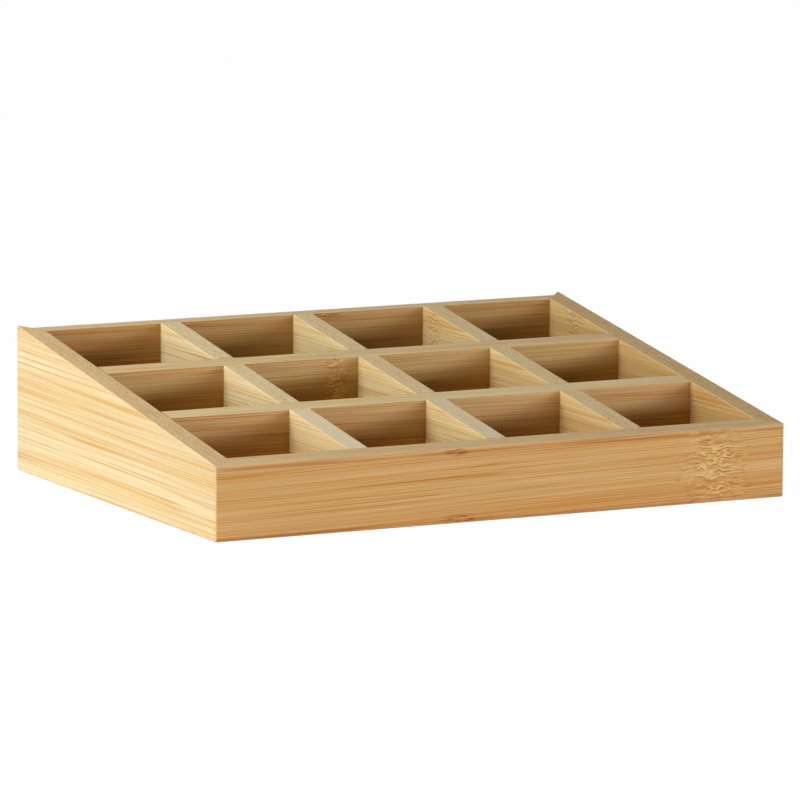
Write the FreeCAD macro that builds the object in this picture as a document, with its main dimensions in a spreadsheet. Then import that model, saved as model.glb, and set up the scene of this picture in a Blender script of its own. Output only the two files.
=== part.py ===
import FreeCAD, Part
import math
import os
import re
import Sketcher

# Bamboo display box: a low wedge-shaped tray of open compartments in columns and rows.
# Four mitred boards stand round a floor panel that sits in their grooves. Two rails run from left
# to right, three ribs run from front to back, and they cross in halved joints.
# +X points to the right, +Y to the back and +Z up. The origin is under the middle of the box.

COLUMNS = 4
ROWS = 3

# Driving dimensions in millimetres, and one angle in degrees.
SIZES = [
    ("cell_width", 70, "clear width of a compartment"),
    ("cell_depth", 70, "clear depth of a compartment, front to back"),
    ("wall_thickness", 12, "thickness of the four outer boards"),
    ("rail_thickness", 12, "thickness of the dividers that run left to right"),
    ("rib_thickness", 12, "thickness of the dividers that run front to back"),
    ("front_height", 40, "height of the box at its front face"),
    ("slope_angle", 9, "rise of the top edges towards the back, in degrees"),
    ("corner_round", 1.2, "radius of the four upright outer corners"),
    ("edge_ease", 0.6, "radius of the eased top edges"),
    ("base_ease", 1, "radius of the eased lower outer edges"),
    ("panel_rise", 6, "height of the floor panel's underside above the table"),
    ("panel_thickness", 4, "thickness of the floor panel"),
    ("panel_play", 0.2, "spare height of the groove over the floor panel"),
    ("panel_gap", 0.4, "room beside the floor panel in its groove"),
    ("groove_depth", 4, "depth of the groove for the floor panel"),
    ("lap_play", 0.1, "spare width and depth of the halved joints"),
    ("dowel_diameter", 6, "diameter of the dowel pins"),
    ("dowel_length", 24, "length of the dowel pins"),
    ("dowel_reach", 7.5, "length of a dowel pin inside an outer board"),
    ("dowel_bevel", 0.8, "bevel on the ends of the dowel pins"),
    ("dowel_play", 0.1, "spare diameter of the dowel holes"),
    ("dowel_gap", 0.5, "room past each end of a dowel pin"),
    ("spline_thickness", 3, "thickness of the corner splines"),
    ("spline_width", 8, "width of the corner splines, across the mitre"),
    ("spline_play", 0.1, "spare thickness and width of the spline slots"),
    ("spline_lift", 1, "height of the splines' lower ends above the table"),
    ("spline_gap", 0.5, "room above each spline in its slot"),
    ("spline_cover", 9, "solid board left above each spline slot"),
]

document = FreeCAD.newDocument("DisplayBox")
sheet = document.addObject("Spreadsheet::Sheet", "Sizes")
for row, (alias, number, meaning) in enumerate(SIZES, start=1):
    sheet.set(f"A{row}", meaning)
    sheet.set(f"B{row}", str(number))
    sheet.setAlias(f"B{row}", alias)
document.recompute()


def bound(formula):
    """Puts the sheet's name before each size in a formula."""
    return re.sub(r"[a-z]+_[a-z]+", lambda found: f"Sizes.{found.group(0)}", formula)


def value(formula):
    return float(sheet.evalExpression(bound(formula)))


# Sizes that follow from the driving dimensions.
INNER_WIDTH = f"({COLUMNS} * cell_width + {COLUMNS - 1} * rib_thickness)"
INNER_DEPTH = f"({ROWS} * cell_depth + {ROWS - 1} * rail_thickness)"
OUTER_WIDTH = f"({INNER_WIDTH} + 2 * wall_thickness)"
OUTER_DEPTH = f"({INNER_DEPTH} + 2 * wall_thickness)"
FLOOR = "(panel_rise + panel_thickness)"
GROOVE_TOP = f"({FLOOR} + panel_play)"


def slope_height(depth):
    """Height of the sloping top at a place measured from the middle of the box towards the back."""
    return f"(front_height + ({OUTER_DEPTH} / 2 + ({depth})) * tan(slope_angle))"


BACK_TIP = slope_height(f"{OUTER_DEPTH} / 2")
BACK_TOP = slope_height(f"{INNER_DEPTH} / 2")

# Cuts that leave a board run past its faces by one thickness of board, to these places.
ABOVE = f"({BACK_TIP} + wall_thickness)"
PAST_INSIDE = "(2 * wall_thickness)"
PAST_FRONT = f"({OUTER_DEPTH} / 2 + wall_thickness)"


def rib_place(number):
    return f"({number + 1 - COLUMNS / 2} * (cell_width + rib_thickness))"


def rail_place(number):
    return f"({number + 1 - ROWS / 2} * (cell_depth + rail_thickness))"


def lap_level(rail):
    """Height at which the two halves of a halved joint meet: the middle of the rail."""
    return f"(({FLOOR} + {slope_height(rail_place(rail))}) / 2)"


# Steps that every board is made with.
LENGTHWISE = FreeCAD.Vector(1, 0, 0)
DEPTHWISE = FreeCAD.Vector(0, 1, 0)
UPRIGHT = FreeCAD.Vector(0, 0, 1)
ALIGNED = 0.9
TOUCHING = 1e-4


def runs_along(edge, direction):
    """True for a straight edge that runs within a few degrees of a direction."""
    return edge.Curve.TypeId == "Part::GeomLine" and abs(edge.Curve.Direction.dot(direction)) > ALIGNED


def near(first, second):
    return abs(first - second) < TOUCHING


def new_body(label):
    body = document.addObject("PartDesign::Body", label)
    body.Label = label
    return body


def new_sketch(body, name, role, offset="0"):
    """A sketch on one of the body's own planes, moved along that plane's normal."""
    sketch = body.newObject("Sketcher::SketchObject", name)
    plane = next(feature for feature in body.Origin.OriginFeatures if feature.Role == role)
    sketch.AttachmentSupport = [(plane, "")]
    sketch.MapMode = "FlatFace"
    sketch.setExpression("AttachmentOffset.Base.z", bound(offset))
    return sketch


def bind(sketch, kind, where, formula):
    number = sketch.addConstraint(Sketcher.Constraint(kind, *where, value(formula)))
    sketch.setExpression(f"Constraints[{number}]", bound(formula))


def bind_point(sketch, edge, end, across, along):
    bind(sketch, "DistanceX", (-1, 1, edge, end), across)
    bind(sketch, "DistanceY", (-1, 1, edge, end), along)


def vector(across, along):
    return FreeCAD.Vector(value(across), value(along), 0)


def add_outline(sketch, corners):
    """A closed outline of straight lines, each corner bound to its two formulas."""
    first = sketch.GeometryCount
    count = len(corners)
    for index, corner in enumerate(corners):
        following = corners[(index + 1) % count]
        sketch.addGeometry(Part.LineSegment(vector(*corner), vector(*following)))
    for index, corner in enumerate(corners):
        following = first + (index + 1) % count
        sketch.addConstraint(Sketcher.Constraint("Coincident", first + index, 2, following, 1))
        bind_point(sketch, first + index, 1, *corner)


def add_circle(sketch, across, along, diameter):
    edge = sketch.addGeometry(Part.Circle(vector(across, along), UPRIGHT, value(diameter) / 2))
    bind(sketch, "Diameter", (edge,), diameter)
    bind_point(sketch, edge, 3, across, along)


def rectangle(left, right, low, high):
    return [(left, low), (right, low), (right, high), (left, high)]


def pad(body, sketch, length, symmetric=False):
    feature = body.newObject("PartDesign::Pad", f"{sketch.Name}_pad")
    feature.Profile = sketch
    feature.Midplane = symmetric
    feature.setExpression("Length", bound(length))
    document.recompute()


def pocket(body, sketch, length=None, along_normal=False):
    """Cuts a sketch out of the body, to a length or, with none, right through both ways."""
    before = body.Shape.Volume
    feature = body.newObject("PartDesign::Pocket", f"{sketch.Name}_pocket")
    feature.Profile = sketch
    if length is None:
        feature.Type = "ThroughAll"
        feature.Midplane = True
    else:
        feature.Reversed = along_normal
        feature.setExpression("Length", bound(length))
    document.recompute()
    if not body.Shape.Volume < before:
        raise RuntimeError(f"{feature.Name} cuts nothing")


def ease(body, radius, wanted):
    """Rounds the edges of the body that pass a test, and the edges that run on smoothly from them."""
    tip = body.Tip
    names = []
    for number, edge in enumerate(tip.Shape.Edges, start=1):
        middle = edge.valueAt((edge.FirstParameter + edge.LastParameter) / 2)
        if wanted(edge, middle):
            names.append(f"Edge{number}")
    feature = body.newObject("PartDesign::Fillet", f"{body.Name}_fillet")
    feature.Base = (tip, names)
    feature.setExpression("Radius", bound(radius))
    document.recompute()


def place(body, across="0", along="0", up="0", turn=0):
    """Sets a finished piece in the box, turned about the upright axis."""
    body.Placement = FreeCAD.Placement(FreeCAD.Vector(), UPRIGHT, turn)
    body.setExpression("Placement.Base.x", bound(across))
    body.setExpression("Placement.Base.y", bound(along))
    body.setExpression("Placement.Base.z", bound(up))


# The four outer boards. Each is drawn with its outer face on y = 0, its inner face on
# y = wall_thickness and its length along x, and is then turned into its place. It starts as a
# square-ended block with rounded corners, as the whole box has them, and is then mitred.
SINE = math.sqrt(0.5)
CORNER_LIMIT = "0.9 * corner_round"


def block(label, length, height):
    body = new_body(label)
    plan = new_sketch(body, f"{label}_plan", "XY_Plane")
    add_outline(plan, rectangle(f"-{length} / 2", f"{length} / 2", "0", "wall_thickness"))
    pad(body, plan, height)
    return body


def round_outside(body):
    """Rounds the upright outer corners, then the top and lower edges that run round them."""
    def upright_corner(edge, middle):
        return runs_along(edge, UPRIGHT) and near(middle.y, 0)

    def outer_edge(edge, middle):
        return runs_along(edge, LENGTHWISE) and near(middle.y, 0)

    def top_edge(edge, middle):
        return outer_edge(edge, middle) and middle.z > TOUCHING

    def base_edge(edge, middle):
        return outer_edge(edge, middle) and near(middle.z, 0)

    ease(body, "corner_round", upright_corner)
    ease(body, f"min(edge_ease; {CORNER_LIMIT})", top_edge)
    ease(body, f"min(base_ease; {CORNER_LIMIT})", base_edge)


def mitre(body, length):
    """Cuts both ends at half a right angle, from the outer corner to the inner face."""
    sketch = new_sketch(body, f"{body.Name}_mitres", "XY_Plane")
    for end in (-1, 1):
        past_end = f"{end} * ({length} / 2 + wall_thickness)"
        shoulder = f"{end} * ({length} / 2 - {PAST_INSIDE})"
        add_outline(sketch, [(past_end, "-wall_thickness"), (past_end, PAST_INSIDE), (shoulder, PAST_INSIDE)])
    pocket(body, sketch)


def cut_panel_groove(body):
    sketch = new_sketch(body, f"{body.Name}_groove", "YZ_Plane")
    bed = "wall_thickness - groove_depth"
    add_outline(sketch, rectangle(bed, PAST_INSIDE, "panel_rise", GROOVE_TOP))
    pocket(body, sketch)


def ease_inside(body):
    """Rounds the long top edge of the inner face."""
    def inner_edge(edge, middle):
        on_face = near(middle.y, value("wall_thickness"))
        return runs_along(edge, LENGTHWISE) and on_face and middle.z > value(GROOVE_TOP) + TOUCHING

    ease(body, "edge_ease", inner_edge)


def spline_height(depth):
    """Height of the spline slot in a corner at this depth: solid board is left above it."""
    return f"({slope_height(depth)} - spline_cover)"


FRONT_SPLINE = spline_height(f"-{OUTER_DEPTH} / 2")
REAR_SPLINE = spline_height(f"{INNER_DEPTH} / 2")


def cut_spline_slot(body, length, end, height):
    """Half of the slot for a corner spline, square across the mitre and open below."""
    sketch = new_sketch(body, f"{body.Name}_slot_{'left' if end < 0 else 'right'}", "XY_Plane")
    half_gap = f"((spline_thickness + spline_play) / 2 * {SINE})"
    reach = f"((spline_width + spline_play) / 2 * {SINE})"
    middle = f"({length} / 2 - wall_thickness / 2)"
    corners = []
    for side, depth in ((1, 1), (-1, 1), (-1, -1), (1, -1)):
        across = f"{end} * ({middle} - {side} * {half_gap} + {depth} * {reach})"
        along = f"wall_thickness / 2 + {side} * {half_gap} + {depth} * {reach}"
        corners.append((across, along))
    add_outline(sketch, corners)
    pocket(body, sketch, height, along_normal=True)


def cut_dowel_holes(body, places):
    """Blind holes in the inner face of an outer board: a list of (along the board, height)."""
    sketch = new_sketch(body, f"{body.Name}_holes", "XZ_Plane", "-wall_thickness")
    for across, height in places:
        add_circle(sketch, across, height, "dowel_diameter + dowel_play")
    pocket(body, sketch, "dowel_reach + dowel_gap", along_normal=True)


def dowel_heights(top):
    """Heights of the two dowel pins in a divider's end: a quarter of its height from floor and top."""
    quarter = f"({top} - {FLOOR}) / 4"
    return {"lower": f"({FLOOR} + {quarter})", "upper": f"({top} - {quarter})"}


def rib_holes(top):
    """Places of the dowel holes for all the ribs in the front or back board."""
    heights = dowel_heights(top).values()
    return [(rib_place(number), up) for number in range(COLUMNS - 1) for up in heights]


FRONT_END = f"-{INNER_DEPTH} / 2"
BACK_END = f"{INNER_DEPTH} / 2"


def finish_outer_board(body, length, holes, left_slot, right_slot):
    """Rounding, mitres, groove, dowel holes and spline slots of a block whose top is cut."""
    round_outside(body)
    mitre(body, length)
    cut_panel_groove(body)
    ease_inside(body)
    cut_dowel_holes(body, holes)
    cut_spline_slot(body, length, -1, left_slot)
    cut_spline_slot(body, length, 1, right_slot)


def front_board():
    inner_top = slope_height(FRONT_END)
    body = block("front_board", OUTER_WIDTH, inner_top)
    bevel = new_sketch(body, "front_board_bevel", "YZ_Plane")
    low = slope_height(f"-{PAST_FRONT}")
    high = slope_height(f"-{OUTER_DEPTH} / 2 + {PAST_INSIDE}")
    outside = "-wall_thickness"
    add_outline(bevel, [(outside, low), (PAST_INSIDE, high), (PAST_INSIDE, ABOVE), (outside, ABOVE)])
    pocket(body, bevel)
    finish_outer_board(body, OUTER_WIDTH, rib_holes(inner_top), FRONT_SPLINE, FRONT_SPLINE)
    place(body, along=f"-{OUTER_DEPTH} / 2")
    return body


def back_board():
    body = block("back_board", OUTER_WIDTH, BACK_TOP)
    finish_outer_board(body, OUTER_WIDTH, rib_holes(BACK_TOP), REAR_SPLINE, REAR_SPLINE)
    place(body, along=f"{OUTER_DEPTH} / 2", turn=180)
    return body


def side_board(label, side):
    """An end board cut to a wedge. As drawn, its front end is on the right for the left side."""
    body = block(label, OUTER_DEPTH, BACK_TIP)
    slope = new_sketch(body, f"{label}_slope", "XZ_Plane")
    front = f"{-side} * {PAST_FRONT}"
    back = f"{side} * {PAST_FRONT}"
    low = slope_height(f"-{PAST_FRONT}")
    high = slope_height(PAST_FRONT)
    add_outline(slope, [(front, low), (back, high), (back, ABOVE), (front, ABOVE)])
    pocket(body, slope)
    holes = []
    for number in range(ROWS - 1):
        here = rail_place(number)
        holes += [(f"{side} * {here}", up) for up in dowel_heights(slope_height(here)).values()]
    slots = (REAR_SPLINE, FRONT_SPLINE) if side < 0 else (FRONT_SPLINE, REAR_SPLINE)
    finish_outer_board(body, OUTER_DEPTH, holes, *slots)
    place(body, across=f"{side} * {OUTER_WIDTH} / 2", turn=90 * side)
    return body


# The dividers. Rails are whole at the top and notched from below; ribs are notched from above.
def cut_end_holes(body, label, role, offset, heights, along_normal):
    """Blind dowel holes in one end face of a divider."""
    sketch = new_sketch(body, f"{body.Name}_{label}", role, offset)
    for height in heights:
        add_circle(sketch, "0", height, "dowel_diameter + dowel_play")
    pocket(body, sketch, "dowel_length - dowel_reach + dowel_gap", along_normal)


def rail(label, number):
    body = new_body(label)
    here = rail_place(number)
    section = new_sketch(body, f"{label}_section", "YZ_Plane")
    half = "rail_thickness / 2"
    front_top = slope_height(f"{here} - {half}")
    back_top = slope_height(f"{here} + {half}")
    add_outline(section, [(f"-{half}", FLOOR), (half, FLOOR), (half, back_top), (f"-{half}", front_top)])
    pad(body, section, INNER_WIDTH, symmetric=True)
    notches = new_sketch(body, f"{label}_notches", "XZ_Plane")
    gap = "(rib_thickness + lap_play) / 2"
    ceiling = f"{lap_level(number)} + lap_play"
    for rib_number in range(COLUMNS - 1):
        middle = rib_place(rib_number)
        add_outline(notches, rectangle(f"{middle} - {gap}", f"{middle} + {gap}", "0", ceiling))
    pocket(body, notches)
    heights = dowel_heights(slope_height(here)).values()
    cut_end_holes(body, "left_holes", "YZ_Plane", f"-{INNER_WIDTH} / 2", heights, True)
    cut_end_holes(body, "right_holes", "YZ_Plane", f"{INNER_WIDTH} / 2", heights, False)

    def top_edge(edge, middle):
        return runs_along(edge, LENGTHWISE) and middle.z > value(front_top) - TOUCHING

    ease(body, "edge_ease", top_edge)
    place(body, along=here)
    return body


def rib(label, number):
    body = new_body(label)
    section = new_sketch(body, f"{label}_section", "YZ_Plane")
    front_top = slope_height(FRONT_END)
    lower_edge = [(FRONT_END, FLOOR), (BACK_END, FLOOR)]
    add_outline(section, lower_edge + [(BACK_END, BACK_TOP), (FRONT_END, front_top)])
    pad(body, section, "rib_thickness", symmetric=True)
    notches = new_sketch(body, f"{label}_notches", "YZ_Plane")
    gap = "(rail_thickness + lap_play) / 2"
    for rail_number in range(ROWS - 1):
        middle = rail_place(rail_number)
        bed = lap_level(rail_number)
        add_outline(notches, rectangle(f"{middle} - {gap}", f"{middle} + {gap}", bed, ABOVE))
    pocket(body, notches)
    front_heights = dowel_heights(front_top).values()
    back_heights = dowel_heights(BACK_TOP).values()
    cut_end_holes(body, "front_holes", "XZ_Plane", f"{INNER_DEPTH} / 2", front_heights, False)
    cut_end_holes(body, "back_holes", "XZ_Plane", f"-{INNER_DEPTH} / 2", back_heights, True)

    def top_edge(edge, middle):
        return runs_along(edge, DEPTHWISE) and near(middle.z, value(slope_height(str(middle.y))))

    ease(body, "edge_ease", top_edge)
    place(body, across=rib_place(number))
    return body


def bottom_panel():
    body = new_body("bottom_panel")
    plan = new_sketch(body, "bottom_panel_plan", "XY_Plane", "panel_rise")
    half_width = f"({INNER_WIDTH} / 2 + groove_depth - panel_gap)"
    half_depth = f"({INNER_DEPTH} / 2 + groove_depth - panel_gap)"
    add_outline(plan, rectangle(f"-{half_width}", half_width, f"-{half_depth}", half_depth))
    pad(body, plan, "panel_thickness")
    place(body)
    return body


def spline(label, side, end, height):
    """A loose tongue that crosses the mitre of one corner."""
    body = new_body(label)
    plan = new_sketch(body, f"{label}_plan", "XY_Plane")
    half_width = "spline_width / 2"
    half_thickness = "spline_thickness / 2"
    add_outline(plan, rectangle(f"-{half_width}", half_width, f"-{half_thickness}", half_thickness))
    pad(body, plan, f"{height} - spline_lift - spline_gap")
    across = f"{side} * ({OUTER_WIDTH} - wall_thickness) / 2"
    along = f"{end} * ({OUTER_DEPTH} - wall_thickness) / 2"
    place(body, across, along, "spline_lift", turn=-45 * side * end)
    return body


def dowel(label, across, along, up, turn):
    """A dowel pin with bevelled ends. It is drawn along x, with x = 0 on the joint's face."""
    body = new_body(label)
    half = new_sketch(body, f"{label}_half", "XZ_Plane")
    outer_end = "-dowel_reach"
    inner_end = "(dowel_length - dowel_reach)"
    radius = "dowel_diameter / 2"
    add_outline(half, [
        (outer_end, "0"),
        (inner_end, "0"),
        (inner_end, f"{radius} - dowel_bevel"),
        (f"{inner_end} - dowel_bevel", radius),
        (f"{outer_end} + dowel_bevel", radius),
        (outer_end, f"{radius} - dowel_bevel"),
    ])
    turned = body.newObject("PartDesign::Revolution", f"{label}_turned")
    turned.Profile = half
    turned.ReferenceAxis = (half, ["H_Axis"])
    turned.Angle = 360
    document.recompute()
    place(body, across, along, up, turn)
    return body


RAIL_NAMES = ["front_rail", "rear_rail"]
RIB_NAMES = ["left_rib", "centre_rib", "right_rib"]

pieces = [front_board(), back_board(), bottom_panel()]
pieces += [side_board("left_side", -1), side_board("right_side", 1)]
for number, label in enumerate(RAIL_NAMES):
    pieces.append(rail(label, number))
    here = rail_place(number)
    for level, up in dowel_heights(slope_height(here)).items():
        pieces.append(dowel(f"{label}_dowel_left_{level}", f"-{INNER_WIDTH} / 2", here, up, 0))
        pieces.append(dowel(f"{label}_dowel_right_{level}", f"{INNER_WIDTH} / 2", here, up, 180))
for number, label in enumerate(RIB_NAMES):
    pieces.append(rib(label, number))
    here = rib_place(number)
    for level, up in dowel_heights(slope_height(FRONT_END)).items():
        pieces.append(dowel(f"{label}_dowel_front_{level}", here, FRONT_END, up, 90))
    for level, up in dowel_heights(BACK_TOP).items():
        pieces.append(dowel(f"{label}_dowel_back_{level}", here, BACK_END, up, -90))
for side, side_name in ((-1, "left"), (1, "right")):
    pieces.append(spline(f"front_{side_name}_spline", side, -1, FRONT_SPLINE))
    pieces.append(spline(f"rear_{side_name}_spline", side, 1, REAR_SPLINE))
document.recompute()

for item in document.Objects:
    if "Invalid" in item.State or "Error" in item.State:
        raise RuntimeError(f"{item.Name} failed: {item.State}")
for piece in pieces:
    if piece.Shape.isNull() or not piece.Shape.isValid() or len(piece.Shape.Solids) != 1:
        raise RuntimeError(f"{piece.Label} is not one valid solid")

os.makedirs("parts", exist_ok=True)
for piece in pieces:
    piece.Shape.exportStep(f"parts/{piece.Label}.step")
    box = piece.Shape.BoundBox
    print(f"{piece.Label}: {box.XLength:.2f} x {box.YLength:.2f} x {box.ZLength:.2f} mm")
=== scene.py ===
import math

import bpy
from mathutils import Matrix, Vector


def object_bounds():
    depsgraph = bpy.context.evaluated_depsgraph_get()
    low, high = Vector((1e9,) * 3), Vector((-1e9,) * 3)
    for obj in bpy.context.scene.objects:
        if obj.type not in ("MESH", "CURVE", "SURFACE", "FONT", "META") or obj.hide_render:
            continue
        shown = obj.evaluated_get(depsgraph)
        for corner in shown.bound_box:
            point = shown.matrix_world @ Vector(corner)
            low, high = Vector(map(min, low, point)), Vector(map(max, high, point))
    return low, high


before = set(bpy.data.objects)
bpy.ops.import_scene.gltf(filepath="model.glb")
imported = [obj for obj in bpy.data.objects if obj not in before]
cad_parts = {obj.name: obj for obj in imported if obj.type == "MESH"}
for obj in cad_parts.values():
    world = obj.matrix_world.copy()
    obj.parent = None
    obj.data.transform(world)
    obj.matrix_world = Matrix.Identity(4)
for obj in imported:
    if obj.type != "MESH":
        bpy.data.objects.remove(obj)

cad_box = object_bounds()

# Sizes of the box in millimetres, and the slope of its top edges, which rise by 9 degrees
X_AXIS = 0
Y_AXIS = 1
MM_IN_METRE = 1000
HALF_DEPTH = MM_IN_METRE * (cad_box[1][Y_AXIS] - cad_box[0][Y_AXIS]) / 2
WALL = 12
FRONT_HEIGHT = 40
SLOPE = math.tan(math.radians(9))

# Boards by the way their fibres run: fibre, axis through the thickness, seed of the first, and names
BOARD_GROUPS = [
    ("X", Y_AXIS, 1, ["front_board", "back_board", "front_rail", "rear_rail", "bottom_panel"]),
    ("Y", X_AXIS, 11, ["left_side", "right_side", "left_rib", "centre_rib", "right_rib"]),
]

# Hidden pieces by a part of their names: name of the material, fibre and seed
HIDDEN_GROUPS = {
    "_spline": ("bamboo_spline", "Y", 31),
    "_rail_dowel_": ("bamboo_dowel_in_rail", "X", 32),
    "_rib_dowel_": ("bamboo_dowel_in_rib", "Y", 33),
}

# How far apart along the fibre the seeds lie, in millimetres
SEED_STEP = 1000.0

# Colours of the boards' faces in even white light, as screen values from 0 to 255. The boards along X are
# warmer, partly their own tone and partly painted warm light on the faces turned to the front
FACE_COLOURS = {
    "front_board": (221, 176, 114),
    "back_board": (201, 163, 107),
    "front_rail": (214, 178, 125),
    "rear_rail": (213, 178, 119),
    "bottom_panel": (220, 180, 120),
    "left_side": (229, 206, 157),
    "right_side": (227, 192, 126),
    "left_rib": (246, 226, 174),
    "centre_rib": (242, 219, 160),
    "right_rib": (238, 210, 149),
}

# Colours of the edges that look up or down, given in the same way; they are partly the strips' own side and
# partly painted sheen
EDGE_COLOURS_WITH_SHEEN = {
    "front_board": (226, 194, 140),
    "back_board": (227, 194, 140),
    "front_rail": (238, 213, 158),
    "rear_rail": (232, 202, 147),
    "left_side": (228, 196, 140),
    "right_side": (216, 182, 122),
    "left_rib": (239, 216, 165),
    "centre_rib": (234, 209, 158),
    "right_rib": (233, 207, 154),
}

# Colours of hidden pieces and of marks, given in the same way, and the most that any colour reflects
SPARE_COLOUR = (236, 208, 156)
GLUE_COLOUR = (150, 112, 58)
# Painted highlight on the front ends of the ribs' top edges
RIB_END_HIGHLIGHT = (248, 238, 208)
# Painted highlight on the rounded edges
ROUNDED_HIGHLIGHT = (255, 228, 176)
SEAM_COLOUR = (186, 118, 60)
STAIN_COLOUR = (168, 88, 40)
KNUCKLE_DARK = (158, 92, 34)
KNUCKLE_PALE = (252, 213, 142)
# Painted shade in tight corners
CORNER_SHADE = (60, 34, 14)
MOST_REFLECTED = 0.97
WHITE = (1, 1, 1, 1)

# The palest and the warmest streaks and thin lines, as shares of a board's light
PALER = (1.1, 1.19, 1.36)
AS_IT_IS = (1, 1, 1)
WARMER = (0.94, 0.73, 0.45)
LINE_TINT = (0.82, 0.63, 0.42)

# Noise lies around this value, and the palest, plain and warmest tones lie at these
MIDDLE = 0.5
TONE_PLACES = (0.2, MIDDLE, 0.8)

# Sizes of the grain in millimetres: along the fibre, then across it
BAND = (480, 9)
STREAK = (320, 1.8)
FIBRE = (140, 0.6)
LINE = (220, 1.3)
SWAY = (160, 60)
SWAY_REACH = 0.45

# How much each layer of the grain moves the tone, and how much of that is left on the edges
STREAK_WEIGHT = 0.5
FIBRE_WEIGHT = 1.2
BAND_WEIGHT = 0.5
EDGE_GRAIN = 0.7

# Thin lines lie where noise is this near to its middle, and fade on edges and in pale streaks and fibres.
# The fades here and below give where they start and end, and the results there if not 0 and 1
LINE_WIDTH = 0.065
LINE_IN_STREAK = (0.35, 0.65, 0.2, 1.0)
LINE_IN_FIBRE = (0.35, 0.55, 0.3, 1.0)
LINE_LOST_ON_EDGE = 0.7

# How far a face looks up or down where it begins and ends to count as an edge
EDGE_FADE = (0.5, 0.85)

# Half the width of the glue line between a board's layers, in millimetres, and its strength
GLUE_LINE = 0.3
GLUE_STRENGTH = 0.25

# Rounded edges look along no axis and get a little painted highlight
ROUNDED_FADE = (0.97, 0.88)
ROUNDED_HIGHLIGHT_STRENGTH = 0.4

# Painted shade in tight corners: reach in metres, number of samples, and fade by the share of open sky
CORNER_SHADE_REACH = 0.0008
CORNER_SHADE_SAMPLES = 8
CORNER_SHADE_FADE = (0.6, 0.3, 0.0, 0.7)

# Painted shade deep in the compartments, as shares of a board's light, and the depths between which it
# fades in
DEEP_SHADED_BOARDS = ["back_board", "front_rail", "rear_rail"]
DEEP_SHADE_TINT = (0.74, 0.64, 0.4)
DEEP_SHADE_FADE = (6, 24)

# How far the fibres rise along each board, as a slope
SLANTS = {"front_board": 0.022, "left_side": 0.008, "front_rail": -0.012, "rear_rail": 0.01}

# Sizes of a knuckle's marks in millimetres, along the fibre and across it, and how far it bends the fibres
DASH = (7, 0.8)
FLAKE = (4, 1.3)
FLAKE_SHADE = 0.5
RAGGED = (60, 4)
RAGGED_REACH = 0.8
KNUCKLE_WAVE = (7, 5)
KNUCKLE_BEND = 4

# Where a knuckle's core and the dashes beside it begin, and how its flakes and dashes are cut from noise
CORE_FADE = (0.68, 0.97)
BESIDE_FADE = (0.02, 0.35)
FLAKE_FADE = (0.46, 0.6)
DARK_DASH_FADE = (0.53, 0.66)
PALE_DASH_FADE = (0.46, 0.36)
DARK_DASH_STRENGTH = 0.4
PALE_DASH_STRENGTH = 0.3
FLAKE_STRENGTH = 0.6
SHADE_STRENGTH = 0.7

# Knuckles of the cane: place along the board, height above the base, half length and half height
KNUCKLES = {
    "front_board": [(127, 19, 25, 34)],
    "rear_rail": [(-19, 50, 8, 60)],
    "right_rib": [(103, 67, 10, 40)],
    "right_side": [(88, 74, 12, 40)],
}

# Red stains in the wood, given in the same way
STAINS = {
    "front_board": [(-31, 38, 9, 2.4), (-26, 2.2, 19, 3.2)],
    "back_board": [(14, 76.5, 15, 3)],
}
STAIN_FADE = (0.42, 0.58)
STAIN_STRENGTH = 0.85

# Painted highlight on the ribs' top edges in the front row: how much paler they are, and where that row
# begins along Y
RIB_END_HIGHLIGHTS = {"left_rib": 0.5, "centre_rib": 0.3}
FRONT_ROW_FADE = (-40, -50)

# Heights of the warm seams where the front board's strips meet, and how each one fades and breaks
SEAMS = {"front_board": [1.2, 37.6]}
SEAM_FADE = (1.3, 0.3)
SEAM_PATCH = (70, 3)
SEAM_PATCH_FADE = (0.3, 0.6)
SEAM_STRENGTH = 0.7

# Roughness, shine and relief of the wood
ROUGHNESS = 0.5
ROUGHNESS_REACH = 0.3
SHINE = 0.1
STREAK_RELIEF = 0.4
FIBRE_RELIEF = 0.6
RELIEF_STRENGTH = 0.4
RELIEF_METRES = 0.0001

# The camera stands to the left of the front and a little above it
CAMERA_AZIMUTH = -26.981
CAMERA_ELEVATION = 8.639
CAMERA_ROLL = 0.321
CAMERA_DISTANCE = 3.3231
CAMERA_AIM = Vector((0.00216, -0.00008, 0.04589))
CAMERA_REACH = 100
SENSOR_WIDTH = 36
LENS = 273.33

# Lamps: side angle (0 is in front, 90 on the right), height angle, distance in metres, width and
# height in metres, power in watts and tint
LAMP_AIM = Vector((0, 0, 0.04))
LAMPS = {
    "left_lamp": (-96, 31, 1.0, (0.5, 0.5), 5.1, (1, 1, 1)),
    "low_left_lamp": (-66, 2.5, 1.6, (0.9, 0.2), 6.55, (1, 0.96, 0.9)),
    "front_lamp": (23, 2.5, 1.6, (1.2, 0.2), 12.0, (1, 0.97, 0.96)),
    "back_lamp": (-165, 5, 1.6, (1.2, 0.2), 6.0, (1, 1, 1)),
    "top_lamp": (-95, 78, 1.0, (0.6, 0.6), 2.4, (1, 1, 1)),
    "right_lamp": (108, 4, 1.6, (1.0, 0.3), 8.0, (1, 1, 1)),
}

# Even light from all round, half the floor's width in metres, its colour, and how much white covers it
WORLD_LEVEL = 0.01
FLOOR_HALF = 6
FLOOR_COLOUR = (0.9, 0.9, 0.9, 1)
FLOOR_GLOW = 0.99


def light_value(screen):
    """A screen value from 0 to 255 as an amount of light from 0 to 1, by the sRGB curve."""
    share = screen / 255
    if share <= 0.04045:
        return share / 12.92
    return ((share + 0.055) / 1.055) ** 2.4


def colour(rgb, tint=AS_IT_IS):
    return (*[min(light_value(value) * share, MOST_REFLECTED) for value, share in zip(rgb, tint)], 1)


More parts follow.
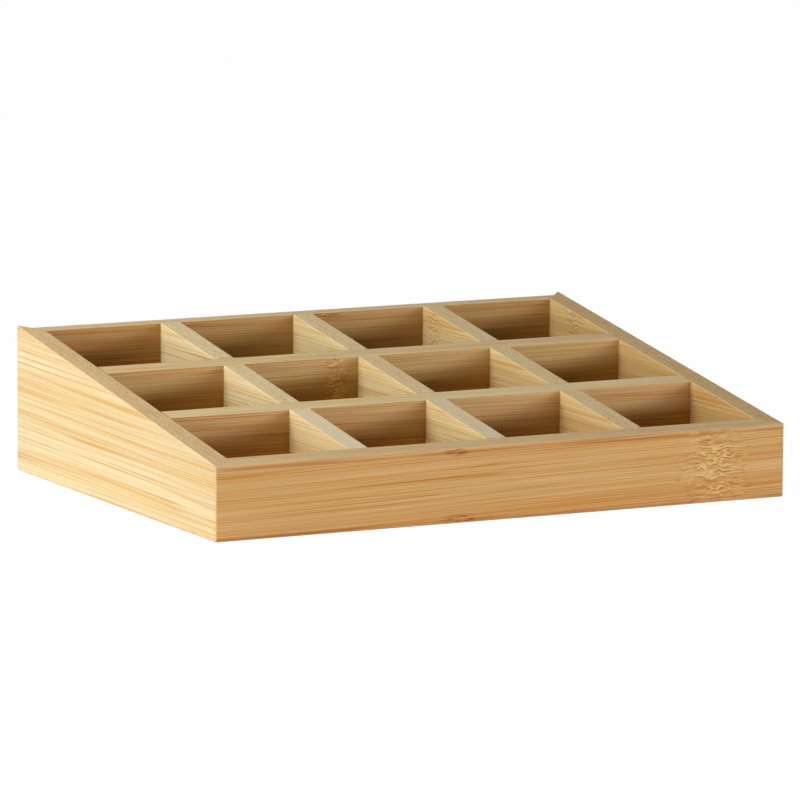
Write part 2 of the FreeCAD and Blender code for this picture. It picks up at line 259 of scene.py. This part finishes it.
class Graph:
    """The shader nodes of a new material or world. Most methods add a node and return its output."""

    def __init__(self, name, kind=bpy.data.materials):
        self.owner = kind.new(name)
        self.owner.use_nodes = True
        self.tree = self.owner.node_tree
        self.tree.nodes.clear()

    def node(self, kind, inputs=None, **settings):
        made = self.tree.nodes.new(kind)
        for key, value in settings.items():
            setattr(made, key, value)
        for key, value in (inputs or {}).items():
            if isinstance(value, bpy.types.NodeSocket):
                self.tree.links.new(value, made.inputs[key])
            else:
                made.inputs[key].default_value = value
        return made

    def math(self, operation, *values):
        return self.node("ShaderNodeMath", dict(enumerate(values)), operation=operation).outputs[0]

    def add(self, first, *others):
        for other in others:
            first = self.math("ADD", first, other)
        return first

    def times(self, first, *others):
        for other in others:
            first = self.math("MULTIPLY", first, other)
        return first

    def around_zero(self, value, reach):
        """A value from 0 to 1 as one from minus half the reach to plus half the reach."""
        return self.times(self.math("SUBTRACT", value, MIDDLE), reach)

    def distance(self, value, place):
        """How far a value lies from a place, on either side."""
        return self.math("ABSOLUTE", self.math("SUBTRACT", value, place))

    def combine(self, x, y, z):
        return self.node("ShaderNodeCombineXYZ", {"X": x, "Y": y, "Z": z}).outputs[0]

    def split(self, vector):
        return self.node("ShaderNodeSeparateXYZ", {0: vector}).outputs

    def fade(self, value, low, high, low_out=0.0, high_out=1.0):
        """Value eased from low_out at low to high_out at high, and level beyond them."""
        inputs = {"Value": value, "From Min": low, "From Max": high, "To Min": low_out, "To Max": high_out}
        return self.node("ShaderNodeMapRange", inputs, interpolation_type="SMOOTHSTEP").outputs[0]

    def noise(self, grain, size, detail=0.0):
        """Noise of a size along the fibre and a size across it."""
        inputs = {"Vector": scaled(self, grain, size), "Scale": 1.0, "Detail": detail, "Roughness": 0.5}
        return self.node("ShaderNodeTexNoise", inputs).outputs[0]

    def blend(self, share, first, second, kind="MIX"):
        """Two colours mixed. The numbers are the mix node's sockets for colours."""
        inputs = {0: share, 6: first, 7: second}
        return self.node("ShaderNodeMix", inputs, data_type="RGBA", blend_type=kind).outputs[2]

    def ramp(self, value, rgb):
        """A board's palest colour, its own colour and its warmest, at their places among the tones."""
        made = self.node("ShaderNodeValToRGB", {"Fac": value})
        elements = made.color_ramp.elements
        elements.new(MIDDLE)
        for element, place, tint in zip(elements, TONE_PLACES, (PALER, AS_IT_IS, WARMER)):
            element.position = place
            element.color = colour(rgb, tint)
        return made.outputs[0]


def scaled(graph, grain, size):
    """The grain's three coordinates, divided by a size along the fibre and a size across it."""
    along, across, through = grain
    return graph.combine(
        graph.math("DIVIDE", along, size[0]),
        graph.math("DIVIDE", across, size[1]),
        graph.math("DIVIDE", through, size[1]),
    )


def largest(graph, parts):
    """The largest of three numbers, whatever their signs."""
    sizes = [graph.math("ABSOLUTE", part) for part in parts]
    return graph.math("MAXIMUM", graph.math("MAXIMUM", sizes[0], sizes[1]), sizes[2])


def thin_lines(graph, grain, streak, fibres):
    """Long thin lines along the fibre, strongest in the warm streaks."""
    away = graph.distance(graph.noise(grain, LINE), MIDDLE)
    strong = graph.times(graph.fade(streak, *LINE_IN_STREAK), graph.fade(fibres, *LINE_IN_FIBRE))
    return graph.times(graph.fade(away, LINE_WIDTH, 0.0), strong)


def oval_share(graph, along, across, ovals, ragged):
    """How much a point lies in one of some ragged ovals, from 0 to 1."""
    share = 0.0
    for middle, height, half_length, half_height in ovals:
        run = graph.math("DIVIDE", graph.math("SUBTRACT", along, middle), half_length)
        run = graph.add(run, graph.around_zero(ragged, RAGGED_REACH))
        rise = graph.math("DIVIDE", graph.math("SUBTRACT", across, height), half_height)
        reach = graph.add(graph.times(run, run), graph.times(rise, rise))
        share = graph.math("MAXIMUM", share, graph.fade(reach, 1.0, 0.0))
    return share


def mark_knuckles(graph, skin, grain, knuckle, face):
    """Pale flakes with a dark lower edge in the core of a knuckle, and short dashes beside it."""
    along, across, through = grain
    raised = (along, graph.add(across, FLAKE_SHADE), through)
    core = graph.times(graph.fade(knuckle, *CORE_FADE), face)
    beside = graph.times(graph.fade(knuckle, *BESIDE_FADE), face)
    flake = graph.fade(graph.noise(grain, FLAKE, 1), *FLAKE_FADE)
    shade = graph.fade(graph.noise(raised, FLAKE, 1), *FLAKE_FADE)
    below = graph.math("MAXIMUM", graph.math("SUBTRACT", shade, flake), 0.0)
    dash = graph.noise(grain, DASH, 1)
    dark_dash = graph.fade(dash, *DARK_DASH_FADE)
    pale_dash = graph.fade(dash, *PALE_DASH_FADE)
    skin = graph.blend(graph.times(dark_dash, beside, DARK_DASH_STRENGTH), skin, colour(KNUCKLE_DARK))
    skin = graph.blend(graph.times(pale_dash, beside, PALE_DASH_STRENGTH), skin, colour(KNUCKLE_PALE))
    skin = graph.blend(graph.times(flake, core, FLAKE_STRENGTH), skin, colour(KNUCKLE_PALE))
    return graph.blend(graph.times(below, core, SHADE_STRENGTH), skin, colour(KNUCKLE_DARK))


def mark_stains(graph, skin, grain, stain):
    """Broken red dashes where the cane's skin was left on."""
    dash = graph.fade(graph.noise(grain, DASH, 1), *STAIN_FADE)
    return graph.blend(graph.times(dash, stain, STAIN_STRENGTH), skin, colour(STAIN_COLOUR))


def mark_seams(graph, skin, grain, height, seams):
    """Warm lines, broken here and there, along the seams between a board's strips."""
    patchy = graph.fade(graph.noise(grain, SEAM_PATCH, 1), *SEAM_PATCH_FADE)
    for seam in seams:
        line = graph.fade(graph.distance(height, seam), *SEAM_FADE)
        skin = graph.blend(graph.times(line, patchy, SEAM_STRENGTH), skin, colour(SEAM_COLOUR))
    return skin


def paint_deep_shade(graph, skin, y, z):
    """Painted shade: faces turned to the compartments are darker, and browner, further below the top edges.
    """
    top = graph.add(graph.times(graph.add(y, HALF_DEPTH), SLOPE), FRONT_HEIGHT)
    depth = graph.math("SUBTRACT", top, z)
    inside = graph.math("LESS_THAN", graph.math("ABSOLUTE", y), HALF_DEPTH - WALL / 2)
    share = graph.times(graph.fade(depth, *DEEP_SHADE_FADE), inside)
    return graph.blend(share, skin, (*DEEP_SHADE_TINT, 1), "MULTIPLY")


def bamboo(name, fibre, seed, rgb, middle=0.0, board=None):
    """Pressed bamboo with its fibres along X or Y, in two layers that meet at the board's middle."""
    graph = Graph(name)
    place = graph.node("ShaderNodeTexCoord").outputs["Object"]
    to_mm = {0: place, 1: (MM_IN_METRE,) * 3}
    x, y, z = graph.split(graph.node("ShaderNodeVectorMath", to_mm, operation="MULTIPLY").outputs[0])
    along, through = (x, y) if fibre == "X" else (y, x)
    through = graph.math("SUBTRACT", through, middle)
    start = graph.add(along, seed * SEED_STEP)

    # Fibres run at a slant, sway slowly, and bend where the cane has a knuckle
    straight = (start, z, through)
    sway = graph.around_zero(graph.noise(straight, SWAY), 2 * SWAY_REACH)
    across = graph.add(z, sway, graph.times(along, -SLANTS.get(board, 0.0)))
    if board in KNUCKLES:
        knuckle = oval_share(graph, along, z, KNUCKLES[board], graph.noise(straight, RAGGED, 1))
        wave = graph.around_zero(graph.noise(straight, KNUCKLE_WAVE, 1), KNUCKLE_BEND)
        across = graph.add(across, graph.times(wave, knuckle))
    grain = (start, across, through)
    band = graph.noise(grain, BAND)
    streak = graph.noise(grain, STREAK, 1)
    fibres = graph.noise(grain, FIBRE, 1)

    # Edges that look up or down show the side of the strips, which is paler and more even, and their
    # colours also hold some painted sheen
    normal = graph.split(graph.node("ShaderNodeNewGeometry").outputs["Normal"])
    edge = graph.fade(graph.math("ABSOLUTE", normal["Z"]), *EDGE_FADE)
    fine = graph.add(graph.around_zero(streak, STREAK_WEIGHT), graph.around_zero(fibres, FIBRE_WEIGHT))
    tone = graph.add(MIDDLE, fine, graph.around_zero(band, BAND_WEIGHT))
    edge_tone = graph.add(MIDDLE, graph.times(fine, EDGE_GRAIN))
    skin = graph.blend(edge, graph.ramp(tone, rgb), graph.ramp(edge_tone, EDGE_COLOURS_WITH_SHEEN.get(board, rgb)))

    # Thin lines on the faces, and the glue line on the edges
    face = graph.math("SUBTRACT", 1.0, graph.times(edge, LINE_LOST_ON_EDGE))
    line = graph.times(thin_lines(graph, grain, streak, fibres), face)
    skin = graph.blend(line, skin, (*LINE_TINT, 1), "MULTIPLY")
    glue = graph.fade(graph.math("ABSOLUTE", through), GLUE_LINE, 0.0)
    skin = graph.blend(graph.times(glue, edge, GLUE_STRENGTH), skin, colour(GLUE_COLOUR))

    # Marks that only some boards have
    # Painted highlight on the front ends of some ribs' top edges
    if board in RIB_END_HIGHLIGHTS:
        front_row = graph.fade(y, *FRONT_ROW_FADE)
        skin = graph.blend(graph.times(front_row, edge, RIB_END_HIGHLIGHTS[board]), skin, colour(RIB_END_HIGHLIGHT))
    if board in SEAMS:
        skin = mark_seams(graph, skin, grain, z, SEAMS[board])
    if board in STAINS:
        stain = oval_share(graph, along, z, STAINS[board], graph.noise(straight, RAGGED, 1))
        skin = mark_stains(graph, skin, grain, stain)
    if board in KNUCKLES:
        skin = mark_knuckles(graph, skin, grain, knuckle, face)
    # Painted shade deep in the compartments
    if board in DEEP_SHADED_BOARDS:
        skin = paint_deep_shade(graph, skin, y, z)

    # Painted highlight on the rounded edges and painted shade in the corners
    rounded = graph.fade(largest(graph, normal), *ROUNDED_FADE)
    skin = graph.blend(graph.times(rounded, ROUNDED_HIGHLIGHT_STRENGTH), skin, colour(ROUNDED_HIGHLIGHT))
    sky = graph.node("ShaderNodeAmbientOcclusion", {"Distance": CORNER_SHADE_REACH}, samples=CORNER_SHADE_SAMPLES)
    skin = graph.blend(graph.fade(sky.outputs["AO"], *CORNER_SHADE_FADE), skin, colour(CORNER_SHADE))

    rough = graph.add(ROUGHNESS, graph.around_zero(streak, ROUGHNESS_REACH))
    height = graph.add(graph.times(streak, STREAK_RELIEF), graph.times(fibres, FIBRE_RELIEF))
    bump = {"Height": height, "Strength": RELIEF_STRENGTH, "Distance": RELIEF_METRES}
    relief = graph.node("ShaderNodeBump", bump).outputs[0]
    wood = {"Base Color": skin, "Roughness": rough, "Normal": relief, "Specular IOR Level": SHINE}
    surface = graph.node("ShaderNodeBsdfPrincipled", wood).outputs[0]
    graph.node("ShaderNodeOutputMaterial", {"Surface": surface})
    return graph.owner


def paint(node, material):
    """Gives a part of the frame one material."""
    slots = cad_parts[node].data.materials
    slots.clear()
    slots.append(material)


def middle_plane(node, axis):
    """Place of a board's middle along an axis, in millimetres."""
    places = [corner[axis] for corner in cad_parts[node].bound_box]
    return MM_IN_METRE * (min(places) + max(places)) / 2


def paint_boards():
    for fibre, axis, first_seed, boards in BOARD_GROUPS:
        for seed, board in enumerate(boards, first_seed):
            middle = middle_plane(board, axis)
            paint(board, bamboo(f"bamboo_{board}", fibre, seed, FACE_COLOURS[board], middle, board))


def paint_hidden_pieces():
    for words, (name, fibre, seed) in HIDDEN_GROUPS.items():
        material = bamboo(name, fibre, seed, SPARE_COLOUR)
        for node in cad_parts:
            if words in node:
                paint(node, material)


def seen(graph):
    """1 for what the camera sees, straight, in a reflection or through glass, and 0 for other light."""
    path = graph.node("ShaderNodeLightPath").outputs
    mirrored = graph.math("MAXIMUM", path["Is Glossy Ray"], path["Is Transmission Ray"])
    return graph.math("MAXIMUM", path["Is Camera Ray"], mirrored)


def lay_floor():
    """A white floor that keeps a faint shadow of the box."""
    graph = Graph("white_floor")
    matt = graph.node("ShaderNodeBsdfDiffuse", {"Color": FLOOR_COLOUR}).outputs[0]
    glow = graph.node("ShaderNodeEmission", {"Color": WHITE, "Strength": 1.0}).outputs[0]
    share = graph.times(seen(graph), FLOOR_GLOW)
    both = graph.node("ShaderNodeMixShader", {0: share, 1: matt, 2: glow}).outputs[0]
    graph.node("ShaderNodeOutputMaterial", {"Surface": both})
    reach = FLOOR_HALF
    corners = [(-reach, -reach, 0), (reach, -reach, 0), (reach, reach, 0), (-reach, reach, 0)]
    mesh = bpy.data.meshes.new("floor")
    mesh.from_pydata(corners, [], [(0, 1, 2, 3)])
    mesh.materials.append(graph.owner)
    floor = bpy.data.objects.new("floor", mesh)
    bpy.context.scene.collection.objects.link(floor)


def light_world():
    """White behind everything, and a little even light from all round."""
    graph = Graph("studio", bpy.data.worlds)
    even = graph.node("ShaderNodeBackground", {"Color": WHITE, "Strength": WORLD_LEVEL}).outputs[0]
    white = graph.node("ShaderNodeBackground", {"Color": WHITE, "Strength": 1.0}).outputs[0]
    both = graph.node("ShaderNodeMixShader", {0: seen(graph), 1: even, 2: white}).outputs[0]
    graph.node("ShaderNodeOutputWorld", {"Surface": both})
    bpy.context.scene.world = graph.owner


def direction(side, height):
    """The way from the box to a place at a side angle and a height angle, in degrees."""
    side = math.radians(side)
    height = math.radians(height)
    return Vector((math.sin(side) * math.cos(height), -math.cos(side) * math.cos(height), math.sin(height)))


def hang_lamp(name, side, height, distance, size, power, tint):
    """A soft lamp that faces the box."""
    lamp = bpy.data.lights.new(name, "AREA")
    lamp.shape = "RECTANGLE"
    lamp.size, lamp.size_y = size
    lamp.energy = power
    lamp.color = tint
    holder = bpy.data.objects.new(name, lamp)
    back = direction(side, height)
    holder.location = LAMP_AIM + back * distance
    holder.rotation_euler = back.to_track_quat("Z", "Y").to_euler()
    holder.visible_camera = False
    bpy.context.scene.collection.objects.link(holder)


def place_camera():
    camera = bpy.data.cameras.new("camera")
    camera.sensor_width = SENSOR_WIDTH
    camera.lens = LENS
    camera.clip_end = CAMERA_REACH
    holder = bpy.data.objects.new("camera", camera)
    back = direction(CAMERA_AZIMUTH, CAMERA_ELEVATION)
    turn = back.to_track_quat("Z", "Y").to_matrix() @ Matrix.Rotation(math.radians(CAMERA_ROLL), 3, "Z")
    holder.matrix_world = Matrix.Translation(CAMERA_AIM + back * CAMERA_DISTANCE) @ turn.to_4x4()
    bpy.context.scene.collection.objects.link(holder)
    bpy.context.scene.camera = holder


paint_boards()
paint_hidden_pieces()
lay_floor()
light_world()
for lamp_name, lamp_values in LAMPS.items():
    hang_lamp(lamp_name, *lamp_values)
place_camera()
bpy.context.scene.view_settings.view_transform = "Standard"
